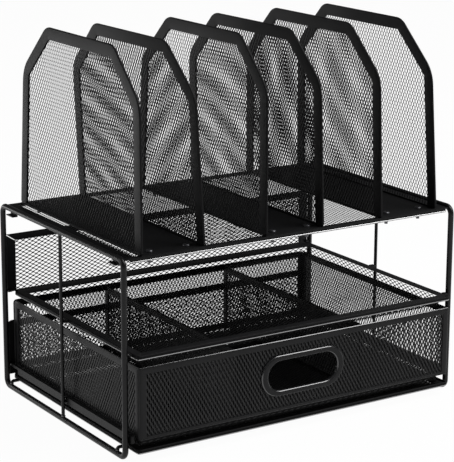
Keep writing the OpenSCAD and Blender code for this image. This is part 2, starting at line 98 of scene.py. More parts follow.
def add_node(tree, kind, settings=None, **links):
    """Adds a node. settings holds properties and constant inputs, links holds the sockets joined to its
    inputs, named with _ for a space, or i0, i1 and so on for an input's number."""
    n = tree.nodes.new(kind)
    for key, value in (settings or {}).items():
        if isinstance(key, int) or key in n.inputs:
            n.inputs[key].default_value = value
        else:
            setattr(n, key, value)
    for key, socket in links.items():
        numbered = key[0] == "i" and key[1:].isdigit()
        tree.links.new(socket, n.inputs[int(key[1:])] if numbered else n.inputs[key.replace("_", " ")])
    return n


def new_material(name):
    m = bpy.data.materials.new(name)
    m.use_nodes = True
    m.node_tree.nodes.clear()
    return m, m.node_tree


# Grain of the coats: the orange peel, the slow change over a panel, single specks, and the screws' grit
PEEL_MM, CLOUD_MM, SPECK_MM, GRIT_MM = 0.9, 38.0, 0.35, 0.5
PEEL_HIGH_MM = 0.06
# How much the specks add to the slow change, how far the roughness swings with it, and the noise's values at
# which the coat counts as thick and as thin
SPECK_SHARE, ROUGH_SPREAD, THICK_AT, THIN_AT = 0.35, 0.06, 0.5, 0.9


def powder_coat(name, thick, thin, roughness, gloss, bump, ior=1.5):
    """Black polyester powder coat baked on steel. thick and thin are its colours where it lies thick and
    thin: the eye sees a satin black skin that is a little greyer in places, with the fine orange peel of
    melted powder, and a sheen that comes and goes over a few centimetres."""
    m, t = new_material(name)
    where = add_node(t, "ShaderNodeTexCoord").outputs["Object"]
    peel = add_node(t, "ShaderNodeTexNoise", {"Scale": MM / PEEL_MM, "Detail": 3.0, "Roughness": 0.6},
                    Vector=where)
    cloud = add_node(t, "ShaderNodeTexNoise", {"Scale": MM / CLOUD_MM, "Detail": 4.0}, Vector=where)
    speck = add_node(t, "ShaderNodeTexNoise", {"Scale": MM / SPECK_MM, "Detail": 1.0}, Vector=where)
    patchy = add_node(t, "ShaderNodeMath", {"operation": "MULTIPLY_ADD", 1: SPECK_SHARE},
                      i0=speck.outputs["Fac"], i2=cloud.outputs["Fac"])
    tone = add_node(t, "ShaderNodeValToRGB", None, Fac=patchy.outputs[0])
    for stop, place, colour in zip(tone.color_ramp.elements, (THICK_AT, THIN_AT), (thick, thin)):
        stop.position, stop.color = place, linear(colour)
    rough = add_node(t, "ShaderNodeMapRange",
                     {"To Min": roughness - ROUGH_SPREAD, "To Max": roughness + ROUGH_SPREAD},
                     Value=cloud.outputs["Fac"])
    relief = add_node(t, "ShaderNodeBump", {"Strength": bump, "Distance": PEEL_HIGH_MM / MM},
                      Height=peel.outputs["Fac"])
    skin = add_node(t, "ShaderNodeBsdfPrincipled", {"Specular IOR Level": gloss, "IOR": ior},
                    Base_Color=tone.outputs["Color"], Roughness=rough.outputs["Result"],
                    Normal=relief.outputs["Normal"])
    add_node(t, "ShaderNodeOutputMaterial", None, Surface=skin.outputs["BSDF"])
    return m


def blackened_steel(name):
    """Black oxide on the screws and nuts: a thin film that leaves them dark grey, so that they stand out
    from the black plates by a metal's sharper glints."""
    m, t = new_material(name)
    where = add_node(t, "ShaderNodeTexCoord").outputs["Object"]
    grit = add_node(t, "ShaderNodeTexNoise", {"Scale": MM / GRIT_MM, "Detail": 2.0}, Vector=where)
    tone = add_node(t, "ShaderNodeValToRGB", None, Fac=grit.outputs["Fac"])
    for stop, colour in zip(tone.color_ramp.elements, ("#38383a", "#626266")):
        stop.color = linear(colour)
    rough = add_node(t, "ShaderNodeMapRange", {"To Min": 0.24, "To Max": 0.36}, Value=grit.outputs["Fac"])
    skin = add_node(t, "ShaderNodeBsdfPrincipled", {"Metallic": 0.8},
                    Base_Color=tone.outputs["Color"], Roughness=rough.outputs["Result"])
    add_node(t, "ShaderNodeOutputMaterial", None, Surface=skin.outputs["BSDF"])
    return m


# All coats are the same black. Most have the sheen that their piece's make gives them, but the hem's coat is
# painted shade and the two edge coats paint highlights and reflections. A line holds the two colours, the
# roughness, the gloss and the bump.
# On round wire the light draws into one satin line.
WIRE_COAT = powder_coat("powder_coat_on_wire", "#111112", "#19191a", 0.32, 0.24, 0.25)
# On folded strip the flats show a faint grey veil.
STRIP_COAT = powder_coat("powder_coat_on_strip", "#131314", "#1b1b1c", 0.42, 0.18, 0.30)
# The mesh of the racks and trays stays a dull black, so that it reads as dark lines on what is behind it.
MESH_COAT = powder_coat("powder_coat_on_mesh", "#0d0d0e", "#151516", 0.42, 0.12, 0.20)
# The drawer's mesh faces the lamps, and each strand glints a little.
DRAWER_MESH_COAT = powder_coat("powder_coat_on_drawer_mesh", "#0d0d0e", "#161617", 0.34, 0.34, 0.20)
# Plates and the racks' wide strips look flat and deep black.
PLATE_COAT = powder_coat("powder_coat_on_plate", "#101011", "#171718", 0.50, 0.12, 0.30)
# The rolled hem's coat is darker and duller than the rest: painted shade, as the bottom tray's hem lies in
# the drawer's shadow. Its downward faces get the reflection coat below.
HEM_PAINTED_SHADE_COAT = powder_coat("powder_coat_painted_shade_on_hem", "#0e0e0f", "#141415", 0.55, 0.08, 0.30)
# A lighter, glossier coat that paints a bright highlight line on the bent edges, the drawer's top fold and
# the weld beads that get it.
EDGE_HIGHLIGHT_COAT = powder_coat("powder_coat_painted_highlight_on_edges", "#151516", "#1c1c1e", 0.20, 1.0, 0.10)
# A still lighter coat that mirrors most, given to faces turned down so that they show a painted reflection:
# a bright line along the foot of the hems and of the top tray's lips.
PAINTED_REFLECTION_COAT = powder_coat("powder_coat_painted_reflection_on_lower_edges", "#19191a", "#222224", 0.18, 1.0, 0.05, ior=2.4)
SCREW_STEEL = blackened_steel("black_oxide_steel")


# ---------------------------------------------------------------- mesh building

def outward(points, faces):
    """The faces, turned so that they look out of the closed shape that they make."""
    p = points - points.mean(0)
    q = np.array([f for f in faces if len(f) == 4]) if isinstance(faces, list) else faces
    a, b, c, d = (p[q[:, k]] for k in range(4))
    volume = (a * (np.cross(b, c) + np.cross(c, d))).sum()
    if volume >= 0:
        return faces
    return [f[::-1] for f in faces] if isinstance(faces, list) else faces[:, ::-1]


def joined(shapes):
    """Many closed shapes as one list of points and one of faces."""
    points, faces, start = [], [], 0
    for p, f in shapes:
        f = outward(p, f)
        points.append(p)
        faces += [[k + start for k in face] for face in f] if isinstance(f, list) else (f + start).tolist()
        start += len(p)
    return np.concatenate(points), faces


def piece(name, shapes, coat, body, replaces=(), smooth=35):
    """Makes a piece from closed shapes in mm, coats it and lets it ride on a body. smooth is the angle in
    degrees past which an edge stays sharp, or None for flat faces all over."""
    points, faces = joined(shapes)
    mesh = bpy.data.meshes.new(name)
    mesh.from_pydata((points / MM).tolist(), [], faces)
    mesh.validate()
    mesh.materials.append(coat)
    ob = bpy.data.objects.new(name, mesh)
    bpy.context.scene.collection.objects.link(ob)
    if smooth is not None:
        mesh.polygons.foreach_set("use_smooth", [True] * len(mesh.polygons))
        mesh.set_sharp_from_angle(angle=math.radians(smooth))
    mesh.update()
    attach(ob, body)
    if replaces:
        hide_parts(*replaces)
    return ob


# How far a normal leans before its face counts as facing up or down, and how straight it points to the front
# on the flats of the drawer's top strip and of its ring. These pick the faces that get the painted highlight
# and reflection coats.
LEAN, STRIP_FLAT, RING_FLAT = 0.25, 0.97, 0.93


def paint_highlight_by_facing(ob, coat, where):
    """Gives another coat to the faces whose normal passes the test: a painted highlight or reflection on the
    faces that it picks by which way they point.
    """
    ob.data.materials.append(coat)
    for face in ob.data.polygons:
        if where(face.normal):
            face.material_index = 1


def grid_faces(rows, cols, close_rows=False, close_cols=False):
    """Quads that join a grid of points, row by row."""
    r = np.arange(rows if close_rows else rows - 1)
    c = np.arange(cols if close_cols else cols - 1)
    r, c = np.meshgrid(r, c, indexing="ij")
    r2, c2 = (r + 1) % rows, (c + 1) % cols
    return np.stack([r * cols + c, r * cols + c2, r2 * cols + c2, r2 * cols + c], -1).reshape(-1, 4)


def capped(rows, cols):
    """Faces of a tube of rings, closed at both ends."""
    return grid_faces(rows, cols, False, True).tolist() + [
        list(range(cols))[::-1], list(range((rows - 1) * cols, rows * cols))]


def unit(v):
    return v / np.linalg.norm(v)


def inset(corners, by):
    """The convex outline with each side moved inwards. by is one distance, or one for each side."""
    p = np.asarray(corners, float)
    n = len(p)
    by = np.broadcast_to(np.asarray(by, float), (n,))
    out = []
    for i in range(n):
        a, b = unit(p[i] - p[i - 1]), unit(p[(i + 1) % n] - p[i])
        na, nb = np.array([-a[1], a[0]]), np.array([-b[1], b[0]])
        out.append(p[i] + np.linalg.solve(np.array([na, nb]), [by[i - 1], by[i]]))
    return np.array(out)


# No corner is quite sharp, least of all a strip's inner one.
LEAST_RADIUS, LEAST_INNER_RADIUS = 0.02, 0.3


def rounded(corners, radii, steps=6):
    """The convex outline with rounded corners."""
    p = np.asarray(corners, float)
    n = len(p)
    radii = np.broadcast_to(np.asarray(radii, float), (n,))
    out = []
    for i in range(n):
        a, b = unit(p[i] - p[i - 1]), unit(p[(i + 1) % n] - p[i])
        bend = math.acos(max(-1.0, min(1.0, float(a @ b))))
        r = max(float(radii[i]), LEAST_RADIUS)
        centre = p[i] - a * r * math.tan(bend / 2) + np.array([-a[1], a[0]]) * r
        start = math.atan2(-a[0], a[1])
        for k in range(steps + 1):
            turn = start + bend * k / steps
            out.append(centre + r * np.array([math.cos(turn), math.sin(turn)]))
    return np.array(out)


def rectangle(u0, v0, u1, v1):
    return np.array([[u0, v0], [u1, v0], [u1, v1], [u0, v1]], float)


def facing_front(y):
    """Puts a drawing of X and Z upright at y, with its thickness along Y."""
    return lambda u, v, w: np.stack([u, y + w, v], -1)


def facing_side(x, warp=None):
    """Puts a drawing of Y and Z upright at x, with its thickness along X."""
    return lambda u, v, w: np.stack([x + w + (warp(u, v) if warp else 0 * u), u, v], -1)


def lying(z):
    """Lays a drawing of X and Y flat at height z."""
    return lambda u, v, w: np.stack([u, v, z + w], -1)


def band(corners, radii, profile, place, steps=6, side_scale=None):
    """A strip that runs round an outline. profile holds points (distance in from the edge, height) of
    its cross-section, and side_scale says how wide it is on each side compared with the profile. Its
    outer corners are round, and its inner ones get sharper towards the strip's inner edge."""
    scale = np.ones(len(corners)) if side_scale is None else np.asarray(side_scale, float)
    width = max(d for d, _ in profile)
    rings = []
    for d, h in profile:
        radius = np.maximum(np.asarray(radii, float) * (1 - d / width), LEAST_INNER_RADIUS)
        ring = rounded(inset(corners, d * scale), radius, steps)
        rings.append(place(ring[:, 0], ring[:, 1], np.full(len(ring), h)))
    pts = np.array(rings)
    return pts.reshape(-1, 3), grid_faces(len(profile), pts.shape[1], True, True)


def mitred(corners, widths, place, gap):
    """Strips folded over the four edges of a sheet and cut on the slant where they meet, gap apart."""
    first = max(widths)
    profile = folded(first)
    scale = np.array([w / first for w in widths])
    rings = [inset(corners, d * scale) for d, _ in profile]
    shapes = []
    for i in range(4):
        j = (i + 1) % 4
        along = unit(np.asarray(corners[j]) - corners[i]) * gap / 2
        ends = []
        for corner, shift in ((i, along), (j, -along)):
            at = np.array([ring[corner] + shift for ring in rings])
            ends.append(place(at[:, 0], at[:, 1], np.array([h for _, h in profile])))
        shapes.append((np.concatenate(ends), capped(2, len(profile))))
    return shapes


def folded(width):
    """Cross-section of a strip folded over the mesh's edge, as points (distance in, height): round at the
    fold, and pressed to a thin lip."""
    t = STRIP_T / 2
    fold = [(0.0, 0.25), (0.06, 0.6), (0.18, 0.86), (0.36, 0.97), (0.6, 1.0)]
    lip = [(width - 0.5, 0.97 * t), (width - 0.1, 0.88 * t), (width, 0.35 * t)]
    side = [(d * STRIP_T, h * t) for d, h in fold] + lip
    return [(d, -h) for d, h in reversed(side)] + side


# Further than any panel reaches, and a slope below which two lines count as parallel
FAR, PARALLEL = 1e9, 1e-12


def clip_line(p, d, corners):
    """Where the line p + t d lies inside the convex outline, as (t0, t1), or None."""
    t0, t1 = -FAR, FAR
    for a, b in zip(corners, np.roll(corners, -1, 0)):
        inward = np.array([a[1] - b[1], b[0] - a[0]])
        num, den = inward @ (p - a), inward @ d
        if abs(den) < PARALLEL:
            if num < 0:
                return None
        elif den > 0:
            t0 = max(t0, -num / den)
        else:
            t1 = min(t1, -num / den)
    return (t0, t1) if t1 > t0 else None


# Expanded steel: a sheet that is slit and pulled open. A diamond's long way and short way go from bond to
# bond, and each strand is as thick as the sheet.
LONG_WAY, SHORT_WAY, BOND = 6.3, 3.57, 1.3
STRAND_W, MESH_T, PAN_MESH_T = 0.7, 0.35, 0.3
# A run of a strand that is shorter, or a bend that lies closer to its end, is left out.
SHORTEST_RUN, END_GAP = 1.0, 0.15
# The pull is never quite even, so the strands wander a little, in waves of a few centimetres.
WANDER, WAVES, FULL_TURN = 0.12, ((17, 29), (41, 23)), 6.28
# How far a mesh reaches in under its strip, and how far below a flat rim's face it lies
TUCK, SUNK = 0.8, 0.5


def sheet_panel(corners, place, upright=True, twist=14, hole=None, strand=STRAND_W, thick=MESH_T):
    """The strands of one panel. Each runs in a zigzag and meets its two neighbours by turns at the bonds,
    twisted out of the sheet by the pull, which sets how much light comes through. upright says which way a
    diamond is long, and twist is in degrees."""
    turn = (lambda c: np.asarray(c, float)) if upright else (lambda c: np.asarray(c, float)[::-1, ::-1])
    corners = turn(corners)
    hole = None if hole is None else turn(hole)
    tilt = math.radians(twist)
    pitch, half_bond = SHORT_WAY / 2, BOND / 2
    swing = (pitch - strand * math.cos(tilt)) / 2
    lift = strand * math.sin(tilt) / 2
    knots = np.array([half_bond, LONG_WAY / 2 - half_bond, LONG_WAY / 2 + half_bond, LONG_WAY - half_bond])
    across = np.array([1, -1, -1, 1]) * strand / 2
    through = np.array([1, 1, -1, -1]) * thick / 2
    section_p = across * math.cos(tilt) + through * math.sin(tilt)
    section_w = through * math.cos(tilt) - across * math.sin(tilt)
    phase, shift = rng.uniform(0, LONG_WAY), rng.uniform(0, FULL_TURN, 2)
    near, far = corners[:, 0].min(), corners[:, 0].max()
    count = int((far - near) / pitch) - 1
    shapes = []
    for k in range(count + 1):
        p = (near + far) / 2 + (k - count / 2) * pitch
        whole = clip_line(np.array([p, 0.0]), np.array([0.0, 1.0]), corners)
        gap = None if hole is None else clip_line(np.array([p, 0.0]), np.array([0.0, 1.0]), hole)
        runs = [whole] if gap is None else [(whole[0], gap[0]), (gap[1], whole[1])]
        for lo, hi in runs:
            if hi - lo < SHORTEST_RUN:
                continue
            turns = np.arange(math.floor((lo - phase) / LONG_WAY) - 1,
                              math.ceil((hi - phase) / LONG_WAY) + 1)
            q = (phase + turns[:, None] * LONG_WAY + knots).ravel()
            q = np.concatenate([[lo], q[(q > lo + END_GAP) & (q < hi - END_GAP)], [hi]])
            side = np.interp((q - phase) % LONG_WAY, np.concatenate([[0], knots, [LONG_WAY]]),
                             (1, 1, -1, -1, 1, 1))
            side = side if k % 2 else -side
            (p1, q1), (p2, q2) = WAVES
            wander = WANDER * (np.sin(p / p1 + q / q1 + shift[0]) + np.sin(q / q2 - p / p2 + shift[1]))
            pp = (p + side * swing + wander)[:, None] + section_p
            ww = (side * lift)[:, None] + section_w
            qq = np.repeat(q[:, None], 4, 1)
            u, v = (pp, qq) if upright else (qq, pp)
            faces = np.concatenate([grid_faces(len(q), 4, False, True),
                                    [[3, 2, 1, 0], np.arange(4) + 4 * (len(q) - 1)]])
            shapes.append((place(u.ravel(), v.ravel(), ww.ravel()), faces))
    return shapes


def expanded_mesh(name, shapes, body, replaces):
    coat = DRAWER_MESH_COAT if body == "drawer" else MESH_COAT
    return piece(name, shapes, coat, body, replaces=replaces, smooth=None)


def coat_cad(nodes, coat, smooth=35):
    """A CAD node whose shape is right is shown as it is, smoothed and coated."""
    for n in nodes:
        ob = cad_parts[n]
        ob.data.materials.clear()
        ob.data.materials.append(coat)
        ob.data.polygons.foreach_set("use_smooth", [True] * len(ob.data.polygons))
        ob.data.set_sharp_from_angle(angle=math.radians(smooth))


# ---------------------------------------------------------------- wire frame

coat_cad(["side_frame_left", "side_frame_right", "mid_upright_left", "mid_upright_right",
          "cross_wire_front", "cross_wire_rear"], WIRE_COAT, 40)
coat_cad(["top_tray_clips", "middle_tray_tabs", "guide_tabs", "drawer_guide_left", "drawer_guide_right"],
         STRIP_COAT)
coat_cad(["rack_base_left", "rack_base_middle", "rack_base_right"], PLATE_COAT)
coat_cad(["rack_nuts"], SCREW_STEEL, 40)

# How far a weld bead's surface strays from its smooth form, as a share of its size
UNEVEN = 0.1


def weld_bead(centre, size, rings=7, around=10):
    """A lump of metal that froze as it flowed, never quite round. size is half its length each way."""
    pts = []
    for i in range(1, rings):
        a = math.pi * i / rings
        for k in range(around):
            b = 2 * math.pi * k / around
            pts.append([math.sin(a) * math.cos(b), math.sin(a) * math.sin(b), math.cos(a)])
    pts = np.array(pts) * (1 + rng.uniform(-UNEVEN, UNEVEN, (len(pts), 1)))
    return np.array(centre) + pts * np.array(size), capped(rings - 1, around)


def weld_beads():
    """Beads where wires and strips are welded, each sunk a few tenths into the corner that it fills."""
    under_top_rail = TOP_Z - 2.9
    guide_stitch = REAR_Y - 16.0
    shapes = []
    for s in (-1, 1):
        # the cross wires on the bottom rails, and the middle upright's two ends
        for y in CROSS_WIRE_YS:
            shapes.append(weld_bead((s * (RAIL_X - 0.2), y, RAIL_TOP + 0.4), (1.7, 2.4, 1.1)))
        for z in (RAIL_TOP + 0.3, under_top_rail):
            shapes.append(weld_bead((s * RAIL_X, MID_Y, z), (1.9, 2.5, 1.2)))
        # the drawer guide on the front, middle and rear upright, and a stitch on its inside
        shapes.append(weld_bead((s * (GUIDE_X + 0.2), FRONT_Y, GUIDE_TOP - 0.2), (0.9, 2.0, 1.0)))
        shapes.append(weld_bead((s * (GUIDE_X + 0.6), MID_Y, GUIDE_TOP - 1.2), (1.0, 2.0, 1.1)))
        shapes.append(weld_bead((s * (GUIDE_X - 0.2), REAR_Y - 2.2, GUIDE_TOP - 1.0), (0.9, 1.6, 1.2)))
        shapes.append(weld_bead((s * (GUIDE_X - 1.4), guide_stitch, GUIDE_TOP - 2.6), (1.3, 0.9, 0.9)))
        # the middle tray on the three uprights
        for y in (FRONT_Y, MID_Y, REAR_Y):
            shapes.append(weld_bead((s * (RAIL_X - WIRE / 2 - 0.2), y, MIDDLE_Z - 0.6), (1.0, 2.2, 1.1)))
    # The beads wear the edge coat, whose lighter colour and strong gloss paint a highlight on them.
    piece("weld_beads", shapes, EDGE_HIGHLIGHT_COAT, "frame", smooth=60)


weld_beads()


# ---------------------------------------------------------------- file racks

# Where each wall's foot stands, and how far its top edge leans to the right at its front and rear end: the
# thin U-shaped racks are a little sprung, and no two walls stand alike.
WALL_X = (-147.5, -89.3, -29.0, 28.0, 89.3, 148.25)
WALL_LEAN = ((3.5, 2.5), (-6.0, -11.0), (5.0, 2.0), (-0.2, -8.0), (-0.5, -5.5), (-5.25, -7.75))
WALL_H, WALL_STRIP, RACK_STRAND = 161.5, 10.6, 0.58
# A wall's ends draw in a little up to the shoulders, and from there its corners are cut off to the top.
SHOULDER_IN, SHOULDER_H, TOP_IN = 6.0, 120.5, 48.7
WALL_CORNERS = np.array([[0, 0], [RACK_D, 0], [RACK_D - SHOULDER_IN, SHOULDER_H], [RACK_D - TOP_IN, WALL_H],
                         [TOP_IN, WALL_H], [SHOULDER_IN, SHOULDER_H]]) + [RACK_Y, RACK_Z]
WALL_RADII = (3, 3, 30, 17, 17, 30)
# The sheet of a rack is bent up at both sides, so its two walls' strands are twisted opposite ways.
WALL_TWIST = (-14, 14, -14, 14, 14, -18)
# The walls have no strip below: the sheet bends into the base there.
FOOT_FOLD = 1.2


def rack_wall(i, x, lean_front, lean_rear, twist):
    """A rack's wall: expanded sheet in a folded strip with cut corners, sprung out of the upright."""
    def stand(u, v):
        back = (u - RACK_Y) / RACK_D
        return (lean_front * (1 - back) + lean_rear * back) * (v - RACK_Z) / WALL_H

    side = facing_side(x, stand)
    strip = band(WALL_CORNERS, WALL_RADII, folded(WALL_STRIP), side, steps=10,
                 side_scale=(FOOT_FOLD / WALL_STRIP, 1, 1, 1, 1, 1))
    piece(f"rack_wall_{i}_folded_strip", [strip], PLATE_COAT, "frame", replaces=[f"rack_wall_{i}_strip"])
    window = inset(WALL_CORNERS, [FOOT_FOLD - TUCK] + [WALL_STRIP - TUCK] * 5)
    sheet = sheet_panel(window, side, twist=twist, strand=RACK_STRAND)
    expanded_mesh(f"rack_wall_{i}_expanded_mesh", sheet, "frame", [f"rack_wall_{i}_mesh"])


for i, (x, lean, twist) in enumerate(zip(WALL_X, WALL_LEAN, WALL_TWIST), 1):
    rack_wall(i, x, *lean, twist)

# Where a screw stands from its rack's middle and from the rack's ends, and its size
SCREW_X, SCREW_Y, HEAD_R, SHANK_R, SHANK_L = 17.3, 9.5, 3.2, 1.45, 9.0
# How far a cross recess reaches from the middle, between its arms and along them
CROSS_WAIST, CROSS_ARM = 0.5, 1.5


def pan_head_screw(x, y, turn, around=32):
    """A pan head with a cross recess, on its shank, as rings (radius, height above the base plate)."""
    angles = np.arange(around) * 2 * math.pi / around
    cross = CROSS_WAIST + (CROSS_ARM - CROSS_WAIST) * np.abs(np.cos(2 * (angles + turn))) ** 3
    rows = [(SHANK_R, -SHANK_L), (SHANK_R, 0), (HEAD_R, 0), (HEAD_R, 0.5), (3.08, 0.95), (2.75, 1.33),
            (2.25, 1.6), (1.8, 1.74), (1.6 + 0 * cross, 1.8), (cross, 1.72), (0.8 * cross, 0.7)]
    pts = [np.stack([x + r * np.cos(angles), y + r * np.sin(angles), RACK_Z + h + 0 * angles], -1)
           for r, h in rows]
    return np.concatenate(pts), capped(len(rows), around)


piece("rack_pan_head_screws",
      [pan_head_screw(x + sx * SCREW_X, y, rng.uniform(0, 3))
       for x in RACK_XS for sx in (-1, 1) for y in (RACK_Y + SCREW_Y, RACK_Y + RACK_D - SCREW_Y)],
      SCREW_STEEL, "frame", replaces=["rack_screws"], smooth=40)


# ---------------------------------------------------------------- top tray

TOP_CORNERS = rectangle(-GUIDE_X, FRONT_Y, GUIDE_X, REAR_Y)
# Width of the flat rim in front and behind, and at the sides, the lips' depth and their round edge's radius
TOP_RIM, TOP_SIDE, TOP_LIP, LIP_BEAD = 6.0, 9.5, 3.5, 0.7
# Each lip ends where the top rails bend down. Its band is just under half the lip's height wide, which
# closes it. The lip and the round bead along its foot lie a little in from the rim's edge.
LIP_END, LIP_BAND, LIP_TOP, LIP_RADIUS = 6.0, 1.55, 0.3, 0.4
LIP_IN, BEAD_IN, BEAD_DROP = 0.42, 0.5, 0.2


def sheet_edge(width):
    """Cross-section of a flat border of sheet steel, as points (distance in, height), with its edges
    rounded by the coat."""
    t = SHEET_T / 2
    return [(0, 0.5 * t), (0.2, t), (width - 0.25, t), (width, 0.5 * t),
            (width, -0.5 * t), (width - 0.25, -t), (0.2, -t), (0, -0.5 * t)]


def round_bar(x0, x1, y, z, radius, around=14):
    """A round edge that runs along X."""
    a = np.arange(around) * 2 * math.pi / around
    ends = [np.stack([x + 0 * a, y + radius * np.cos(a), z + radius * np.sin(a)], -1) for x in (x0, x1)]
    return np.concatenate(ends), capped(2, around)


def top_tray():
    """A sheet of mesh in a flat rim, which turns down into a lip at the front and at the rear."""
    side_scale = (1, TOP_SIDE / TOP_RIM, 1, TOP_SIDE / TOP_RIM)
    rim = [band(TOP_CORNERS, (1, 1, 1, 1), sheet_edge(TOP_RIM), lying(TOP_Z - SHEET_T / 2), steps=2,
                side_scale=side_scale)]
    edges = []
    for inwards, y in ((1, FRONT_Y), (-1, REAR_Y)):
        lip = rectangle(LIP_END - RAIL_X, TOP_Z - TOP_LIP, RAIL_X - LIP_END, TOP_Z - LIP_TOP)
        rim.append(band(lip, (LIP_RADIUS,) * 4, sheet_edge(LIP_BAND), facing_front(y + inwards * LIP_IN),
                        steps=2))
        edges.append(round_bar(LIP_END - RAIL_X, RAIL_X - LIP_END, y + inwards * BEAD_IN,
                               TOP_Z - TOP_LIP + LIP_BEAD - BEAD_DROP, LIP_BEAD))
    piece("top_tray_turned_rim", rim, PLATE_COAT, "frame", replaces=["top_tray_rim"])
    # The round edges along the lips' foot wear the reflection coat: a painted bright line along their
    # bottom.
    piece("top_tray_lip_edges", edges, PAINTED_REFLECTION_COAT, "frame", smooth=60)
    window = inset(TOP_CORNERS, (TOP_RIM - TUCK, TOP_SIDE - TUCK, TOP_RIM - TUCK, TOP_SIDE - TUCK))
    sheet = sheet_panel(window, lying(TOP_Z - SUNK), upright=False, twist=15)
    expanded_mesh("top_tray_expanded_mesh", sheet, "frame", ["top_tray_mesh"])


top_tray()


# ---------------------------------------------------------------- middle and bottom trays

# The width of a tray's flat flange, where the pan's rear wall stands, and the pan's depth
FLANGE, PAN_BACK, PAN_H = 7.5, 94.0, 9.6
# The rolled hem goes over the flange's edge: its depth inwards, its height, and the seam between the two
HEM_D, HEM_H, SEAM = 2.4, 3.9, 0.4
TRAY_RADII = (4, 4, 8, 8)
PAN_FRONT, PAN_REAR = TRAY_FRONT + FLANGE + SEAM, PAN_BACK - SEAM
# The pan's front and rear walls: place, twist and strand width
PAN_WALLS = ((PAN_FRONT, -8, 1.1), (PAN_REAR, 14, STRAND_W))
# The back panels' strips at the foot, where the mesh only bends, at the sides and above
BACK_FOLD, BACK_STRIP, BACK_SIDE = 1.0, 6.2, 9.2
BACK_WIDTHS = (BACK_FOLD, BACK_SIDE, BACK_STRIP, BACK_SIDE)
# How far a panel's mesh stays inside its edge at least, and the slit where slanted strips' ends don't meet
LEAST_INSET, MITRE_GAP = 0.3, 0.9


def tray(name, z, up, back_edge, hem_z, back_z, back_frame):
    """A pan of expanded sheet that hangs from a flat flange with a rolled hem, or with up 1 stands on it.
    z is the flange's outer face, back_edge its rear edge, hem_z the hem's middle, and back_z the foot and
    the top of the back panel, whose strips back_frame makes. The flange is wider at the rear."""
    corners = rectangle(-TRAY_X, TRAY_FRONT, TRAY_X, back_edge)
    flange = [(d + HEM_D / 2, up * (SHEET_T / 2 + h)) for d, h in sheet_edge(FLANGE - SEAM)]
    side_scale = (1, 1, (back_edge - PAN_BACK) / FLANGE, 1)
    piece(f"{name}_flat_flange", [band(corners, TRAY_RADII, flange, lying(z), side_scale=side_scale)],
          STRIP_COAT, "frame", replaces=[f"{name}_rim"])
    turns = np.radians(np.arange(0, 360, 20))
    bead = [(HEM_D / 2 * (1 - math.cos(a)), HEM_H / 2 * math.sin(a)) for a in turns]
    # The hem is coated in painted shade, darker than the flange.
    hem = piece(f"{name}_rolled_hem", [band(corners, TRAY_RADII, bead, lying(hem_z), steps=8)],
                HEM_PAINTED_SHADE_COAT, "frame", smooth=60)
    # The hem's downward faces get the reflection coat: a painted bright line along its foot.
    paint_highlight_by_facing(hem, PAINTED_REFLECTION_COAT, lambda n: n.z < -LEAN)

    w = TRAY_X - FLANGE - SEAM
    deep = up * (PAN_H - SUNK)
    floor = rectangle(-w, PAN_FRONT, w, PAN_REAR)
    sheet = sheet_panel(floor, lying(z + deep), upright=False, thick=PAN_MESH_T)
    expanded_mesh(f"{name}_expanded_floor", sheet, "frame", [f"{name}_mesh"])
    low_z, high_z = sorted((z + up * SHEET_T / 2, z + deep))
    walls = []
    for y, twist, strand in PAN_WALLS:
        wall = rectangle(-w, low_z, w, high_z)
        walls += sheet_panel(wall, facing_front(y), upright=False, twist=twist, strand=strand)
    for x in (-w, w):
        walls += sheet_panel(rectangle(PAN_FRONT, low_z, PAN_REAR, high_z), facing_side(x), upright=False)
    expanded_mesh(f"{name}_expanded_walls", walls, "frame", [f"{name}_walls"])

    back = rectangle(-GUIDE_X, back_z[0], GUIDE_X, back_z[1])
    stand = facing_front(TRAY_BACK - STRIP_T / 2)
    node = name.replace("_tray", "_back")
    piece(f"{node}_folded_strip", back_frame(back, stand), STRIP_COAT, "frame", replaces=[f"{node}_frame"])
    window = inset(back, [max(width - TUCK, LEAST_INSET) for width in BACK_WIDTHS])
    sheet = sheet_panel(window, stand, upright=False, twist=7)
    expanded_mesh(f"{node}_expanded_mesh", sheet, "frame", [f"{node}_mesh"])


def slit_frame(corners, place):
    """The middle back panel's strips: their slanted ends don't quite meet."""
    return mitred(corners, BACK_WIDTHS, place, MITRE_GAP)


def round_frame(corners, place):
    """The bottom back panel's strip: its upper corners are rounded off."""
    return [band(corners, (0.8, 0.8, 4, 4), folded(BACK_STRIP), place, steps=4,
                 side_scale=[width / BACK_STRIP for width in BACK_WIDTHS])]


# The middle tray's flange ends in front of its back panel, whose foot hangs down behind it.
MIDDLE_BACK_EDGE, BACK_DROP = 109.0, 2.8
# The middle of the bottom tray's hem lies this far above its flange's lower face.
BOTTOM_HEM = 0.2
tray("middle_tray", MIDDLE_Z, -1, MIDDLE_BACK_EDGE, MIDDLE_Z - HEM_H / 2,
     (MIDDLE_Z - BACK_DROP, high("middle_back_frame", Z)), slit_frame)
tray("bottom_tray", BOTTOM_Z, 1, TRAY_BACK, BOTTOM_Z + BOTTOM_HEM,
     (low("bottom_back_frame", Z), high("bottom_back_frame", Z)), round_frame)


# ---------------------------------------------------------------- drawer

# Widths of the strips round a wall: below, at the right, above and at the left
SIDE_STRIPS, FRONT_STRIPS = (2.2, 6.2, 6.2, 6.2), (2.2, 6.2, 5.7, 6.2)
# Radii of a wall's corners
SHARP, ROUND = 0.6, 3


